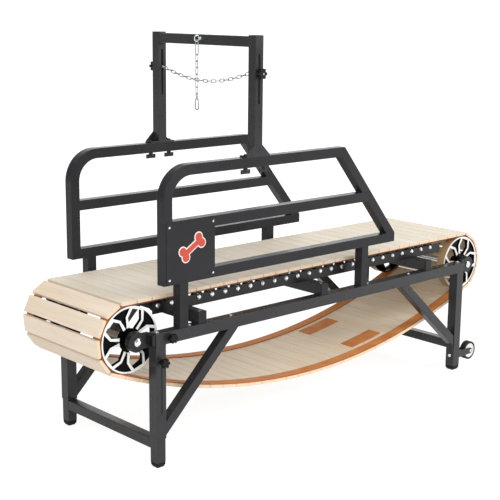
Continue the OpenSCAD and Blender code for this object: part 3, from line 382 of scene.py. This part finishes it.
wheelLook = {"white": "#e6e5e2", "soiled": "#cfcdc8", "black": "#060607", "bare": "#242426", "proud": 0.2322,
             "axle": 0.9425, "height": 0.479, "hub": 0.0295, "specular": 0.06,
             "tread": 0.1204, "lining": "#b3966f", "liningDark": "#9c7f5b"}
rollerLook = {"white": "#e9e8e5", "soiled": "#d6d4cf", "black": "#0b0b0c", "axle": 0.969, "height": 0.068,
              "hub": 0.0325}
emblemLook = {"red": "#a83220", "redLight": "#ba4430", "rim": "#ead9d2", "face": -0.30255}

# One look per material slot, and the nodes that the photo shows in a shade of their own
looks = {
    "frame_coat": skinMaterial("frameCoat", coatLook),
    "panel_sheet": skinMaterial("panelCoat", panelLook),
    "knob_plastic": skinMaterial("knobPlastic", knobLook),
    "foot_rubber": skinMaterial("footRubber", rubberLook),
    "cap_plastic": skinMaterial("capPlastic", capLook),
    "black_hardware": skinMaterial("blackOxide", hardwareLook),
    "bearing_steel": skinMaterial("bearingSteel", bearingLook),
    "zinc_bolts": metalMaterial("zincPlate", zincLook),
    "shaft_steel": metalMaterial("turnedSteel", shaftLook),
    "chain_steel": metalMaterial("chainSteel", chainLook),
    "slat_wood": woodMaterial("paleSlat", slatLook),
    "edge_strip": stripMaterial("brownStrip", stripLook),
    "wheel_alloy": wheelMaterial("spokedWheel", wheelLook),
    "roller": rollerMaterial("rollerWheel", rollerLook),
    "emblem": emblemMaterial("boneEmblem", emblemLook)}
railCoat = skinMaterial("bearingRailCoat", railLook)
guardCoat = skinMaterial("guardCoat", guardLook)
ownLooks = {
    "near_bearing_rail": railCoat, "far_bearing_rail": railCoat,
    "front_axle_brackets": railCoat, "rear_axle_brackets": railCoat,
    "near_guard": guardCoat, "far_guard": guardCoat,
    # Painted light: the top run gets a greyer, cooler copy of the slat wood for the overhead light
    "top_slats": woodMaterial("paintedLightTopSlat", paintedLightTopLook),
    # Painted light: the return run gets a brighter, warmer copy of the slat wood for light under the deck
    "return_slats": woodMaterial("paintedLightReturnSlat", paintedLightReturnLook),
    # Painted light: the return strips get a brighter copy of the strip for light under the deck
    "return_strips": stripMaterial("paintedLightReturnStrip", paintedLightReturnStripLook)}
slotOf = {part["node"]: part["material_slot"] for part in frame["record"]["subparts"]}
for name, item in nodes.items():
    look = ownLooks.get(name, looks[slotOf[name]])
    for place in item.material_slots:
        place.material = look
print("stage: materials,", len(looks))

# Rounded edges, in metres, on the pieces whose corners catch the light; loose triangles are joined first
roundings = {
    "top_slats": 0.0022, "front_wrap_slats": 0.0022, "return_slats": 0.0022, "rear_wrap_slats": 0.0022,
    "rear_feet": 0.007, "front_feet": 0.007, "tube_caps": 0.001, "deck_crossbeams": 0.003,
    "leg_braces": 0.003, "rear_cross_tube": 0.003, "arch_crossbar": 0.003, "front_cross_tube": 0.003}
roundingFacts = {"join": 0.00001, "segments": 3, "angle": 40}
for name, width in roundings.items():
    joined = nodes[name].modifiers.new("joined", "WELD")
    joined.merge_threshold = roundingFacts["join"]
    modifier = nodes[name].modifiers.new("rounding", "BEVEL")
    modifier.width = width
    modifier.segments = roundingFacts["segments"]
    modifier.limit_method = "ANGLE"
    modifier.angle_limit = math.radians(roundingFacts["angle"])
    modifier.use_clamp_overlap = True
print("stage: roundings,", len(roundings))


def addObject(name, data):
    item = bpy.data.objects.new(name, data)
    bpy.context.scene.collection.objects.link(item)
    return item


def meshObject(name, mesh, material):
    bmesh.ops.recalc_face_normals(mesh, faces=mesh.faces)
    data = bpy.data.meshes.new(name)
    mesh.to_mesh(data)
    mesh.free()
    for face in data.polygons:
        face.use_smooth = True
    data.materials.append(material)
    return addObject(name, data)


# Weld beads where tubes meet, each half sunk into its corner; outer and inner are a bead's ends in Y
weldLook = {"radius": 0.0026, "ripple": 0.16, "pitch": 0.0052, "step": 0.0013, "sides": 8, "fewest": 4,
            "tip": 0.35, "growth": 0.22, "outer": 0.2985, "inner": 0.2615}

# Places of the seams on the frame in X and Z: guard stubs, crossbeams, legs, braces and guard bars
seamPlaces = {
    "tubeHalf": 0.019, "railTop": 0.5005, "railFoot": 0.4575, "guardFoot": 0.665,
    "stubs": (-0.770, -0.732, 0.189, 0.227), "beams": (-0.665, -0.027, 0.630), "leg": 0.8365,
    "braceFoot": 0.140, "braces": ((-1, 0.3225), (1, 0.3635)),
    "bars": ((-0.803, 0.703), (-0.803, 0.853), (-0.803, 0.891), (0.2135, 0.853), (0.1815, 0.891),
             (0.339, 0.703), (0.0513, 1.047))}

# Seams that run along X, as both ends and the height, on the arch, the rear legs and the front stand
crossSeams = {"side": 0.2612, "seams": ((-0.4175, -0.3805, 1.4785), (-0.4175, -0.3805, 1.5165),
                                        (0.8395, 0.8765, 0.100), (0.8395, 0.8765, 0.138))}
standSeams = {"side": 0.2607, "seams": ((-0.8766, -0.8394, 0.0691), (-0.8766, -0.8394, 0.1069))}


# A ring is drawn out along the seam, then each ring is swelled or thinned
def weldBead(mesh, start, end, s):
    line = end - start
    count = max(s["fewest"], int(line.length / s["step"]))
    ahead = line.normalized()
    turned = ahead.to_track_quat("Z", "Y").to_matrix().to_4x4()
    ring = bmesh.ops.create_circle(mesh, cap_ends=False, radius=s["radius"], segments=s["sides"],
                                   matrix=Matrix.Translation(start) @ turned)["verts"]
    edges = list(dict.fromkeys(edge for vert in ring for edge in vert.link_edges))
    before = set(mesh.verts) - set(ring)
    bmesh.ops.spin(mesh, geom=ring + edges, cent=start, axis=ahead, dvec=line / count, angle=0.0, steps=count)
    bead = [vert for vert in mesh.verts if vert not in before]
    for vert in bead:
        along = (vert.co - start).dot(ahead)
        centre = start + ahead * along
        taper = min(1.0, s["tip"] + s["growth"] * min(along, line.length - along) / s["step"])
        wave = 1 + s["ripple"] * math.sin(2 * math.pi * along / s["pitch"])
        vert.co = centre + (vert.co - centre) * taper * wave
    rims = dict.fromkeys(edge for vert in bead for edge in vert.link_edges if edge.is_boundary)
    bmesh.ops.holes_fill(mesh, edges=list(rims), sides=0)


def frameSeams(s):
    seams = [(x, z) for x in s["stubs"] for z in (s["railTop"], s["guardFoot"])]
    for middle in s["beams"]:
        seams += [(middle - s["tubeHalf"], s["railTop"]), (middle + s["tubeHalf"], s["railTop"])]
    seams += [(-s["leg"], s["railFoot"]), (s["leg"], s["railFoot"])]
    for way, reach in s["braces"]:
        lean = math.atan2(s["railFoot"] - s["braceFoot"], reach)
        rise, run = s["tubeHalf"] / math.cos(lean), s["tubeHalf"] / math.sin(lean)
        seams += [(way * s["leg"], s["braceFoot"] - rise), (way * s["leg"], s["braceFoot"] + rise),
                  (way * (s["leg"] - reach + run), s["railFoot"]),
                  (way * (s["leg"] - reach - run), s["railFoot"])]
    return seams + list(s["bars"])


def weldAcross(mesh, seams, s):
    for x, z in seams:
        for side in (-1, 1):
            weldBead(mesh, Vector((x, side * s["outer"], z)), Vector((x, side * s["inner"], z)), s)


def weldAlong(mesh, places, s):
    for side in (-1, 1):
        for start, end, z in places["seams"]:
            y = side * places["side"]
            weldBead(mesh, Vector((start, y, z)), Vector((end, y, z)), s)


def finishPiece(name, mesh, body, material):
    piece = meshObject(name, mesh, material)
    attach(piece, body)


frameWelds = bmesh.new()
weldAcross(frameWelds, frameSeams(seamPlaces), weldLook)
weldAlong(frameWelds, crossSeams, weldLook)
finishPiece("weld_beads", frameWelds, "frame", looks["frame_coat"])
standWelds = bmesh.new()
weldAlong(standWelds, standSeams, weldLook)
finishPiece("stand_weld_beads", standWelds, "front_stand", looks["frame_coat"])
print("stage: welds")

# Camera, as solved from the photo: metres, degrees, and millimetres of lens and sensor
shot = {"place": (-3.22965, -3.30562, 1.62508), "azimuth": 47.1, "drop": 12.16, "roll": 0.6, "lens": 81.746,
        "sensor": 36.0}
camera = addObject("camera", bpy.data.cameras.new("camera"))
bpy.context.scene.camera = camera
turn, drop, roll = (math.radians(shot[key]) for key in ("azimuth", "drop", "roll"))
forward = Vector((math.cos(turn), math.sin(turn), 0))
across = Vector((math.sin(turn), -math.cos(turn), 0))
ahead = Vector((math.cos(turn) * math.cos(drop), math.sin(turn) * math.cos(drop), -math.sin(drop)))
up = across.cross(ahead)
right = across * math.cos(roll) + up * math.sin(roll)
above = up * math.cos(roll) - across * math.sin(roll)
camera.matrix_world = Matrix((right, above, -ahead)).transposed().to_4x4()
camera.matrix_world.translation = Vector(shot["place"])
camera.data.lens = shot["lens"]
camera.data.sensor_width = shot["sensor"]

# Pale sweep: floor that rises into a back wall
sweepLook = {"near": -9.0, "bend": 7.0, "radius": 3.0, "top": 9.0, "half": 14.0, "steps": 24,
             "drop": 0.0004, "paper": "#e8e8e8", "shade": "#e2e2e2", "dim": "#8c8c8c", "glow": "#ececec",
             "cloudScale": 0.6, "cloudDetail": 2.0, "cloud": (0.3, 0.7), "rough": 0.9,
             "ring": (1.3, 3.4), "shine": (-0.5, 3.0, 0.35, 1.0)}


# Paper that is white to the camera, keeps the shadow, and shows pale in what reflects it
def paperMaterial(name, s):
    material, tree, shader = newMaterial(name)
    point = objectPoint(tree)
    cloudy = span(tree, noise(tree, point, s["cloudScale"], s["cloudDetail"]), *s["cloud"])
    paper = mixColour(tree, cloudy, linear(s["paper"]), linear(s["shade"]))
    path = put(tree, "ShaderNodeLightPath").outputs
    seen = path["Is Camera Ray"]
    away = vectorMaths(tree, "LENGTH", point)["Value"]
    behind = vectorMaths(tree, "DOT_PRODUCT", point, forward)["Value"]
    mirrored = maths(tree, "MULTIPLY", path["Is Glossy Ray"], span(tree, behind, *s["shine"]))
    glow = mixColour(tree, span(tree, away, *s["ring"]), linear(s["glow"]), (1, 1, 1, 1))
    feed(tree, shader, Base_Color=mixColour(tree, seen, paper, linear(s["dim"])), Roughness=s["rough"],
         Specular_IOR_Level=0.0, Emission_Color=glow, Emission_Strength=maths(tree, "MAXIMUM", seen, mirrored))
    return material


# Draws an edge out by one move and returns the new edge
def drawOut(mesh, edge, move):
    grown = bmesh.ops.extrude_edge_only(mesh, edges=[edge])["geom"]
    bmesh.ops.translate(mesh, verts=[g for g in grown if isinstance(g, bmesh.types.BMVert)], vec=move)
    return next(g for g in grown if isinstance(g, bmesh.types.BMEdge))


def makeSweep(s):
    mesh = bmesh.new()
    low = Vector((0, 0, -s["drop"]))
    ends = [mesh.verts.new(low + forward * s["near"] + across * reach) for reach in (-s["half"], s["half"])]
    edge = drawOut(mesh, mesh.edges.new(ends), forward * (s["bend"] - s["near"]))
    centre = low + forward * s["bend"] + Vector((0, 0, s["radius"]))
    last = bmesh.ops.spin(mesh, geom=list(edge.verts) + [edge], cent=centre, axis=across, angle=math.pi / 2,
                          steps=s["steps"])["geom_last"]
    edge = next(g for g in last if isinstance(g, bmesh.types.BMEdge))
    drawOut(mesh, edge, Vector((0, 0, s["top"] - s["radius"])))
    meshObject("studioSweep", mesh, paperMaterial("studioPaper", s))


makeSweep(sweepLook)

# Soft studio light: a low box at the right, a weaker one in front and one overhead
lights = {
    "key": {"place": (3.6, -5.2, 3.4), "aim": (0, 0, 0.5), "size": (3.4, 2.8), "power": 240},
    "front": {"place": (-4.8, -3.8, 3.2), "aim": (0, 0, 0.4), "size": (3.4, 3.0), "power": 178},
    "top": {"place": (0.2, -0.4, 5.6), "aim": (0, 0, 0.3), "size": (5.0, 5.0), "power": 76}}
for name, s in lights.items():
    data = bpy.data.lights.new(name, "AREA")
    data.energy = s["power"]
    data.shape = "RECTANGLE"
    data.size, data.size_y = s["size"]
    lamp = addObject(name, data)
    lamp.location = s["place"]
    lamp.rotation_euler = (Vector(s["aim"]) - Vector(s["place"])).to_track_quat("-Z", "Y").to_euler()

# World: white where the camera sees it, a dimmer room for everything else
room = {"fill": 0.66, "shine": 0.4}
world = bpy.data.worlds.new("studio")
bpy.context.scene.world = world
world.use_nodes = True
tree = world.node_tree
backdrop = next(n for n in tree.nodes if n.type == "BACKGROUND")
path = put(tree, "ShaderNodeLightPath").outputs
level = span(tree, path["Is Glossy Ray"], 0.0, 1.0, room["fill"], room["shine"])
feed(tree, backdrop, Color=(1, 1, 1, 1), Strength=maths(tree, "MAXIMUM", level, path["Is Camera Ray"]))
bpy.context.scene.view_settings.view_transform = "Standard"
print("stage: camera, sweep and light")
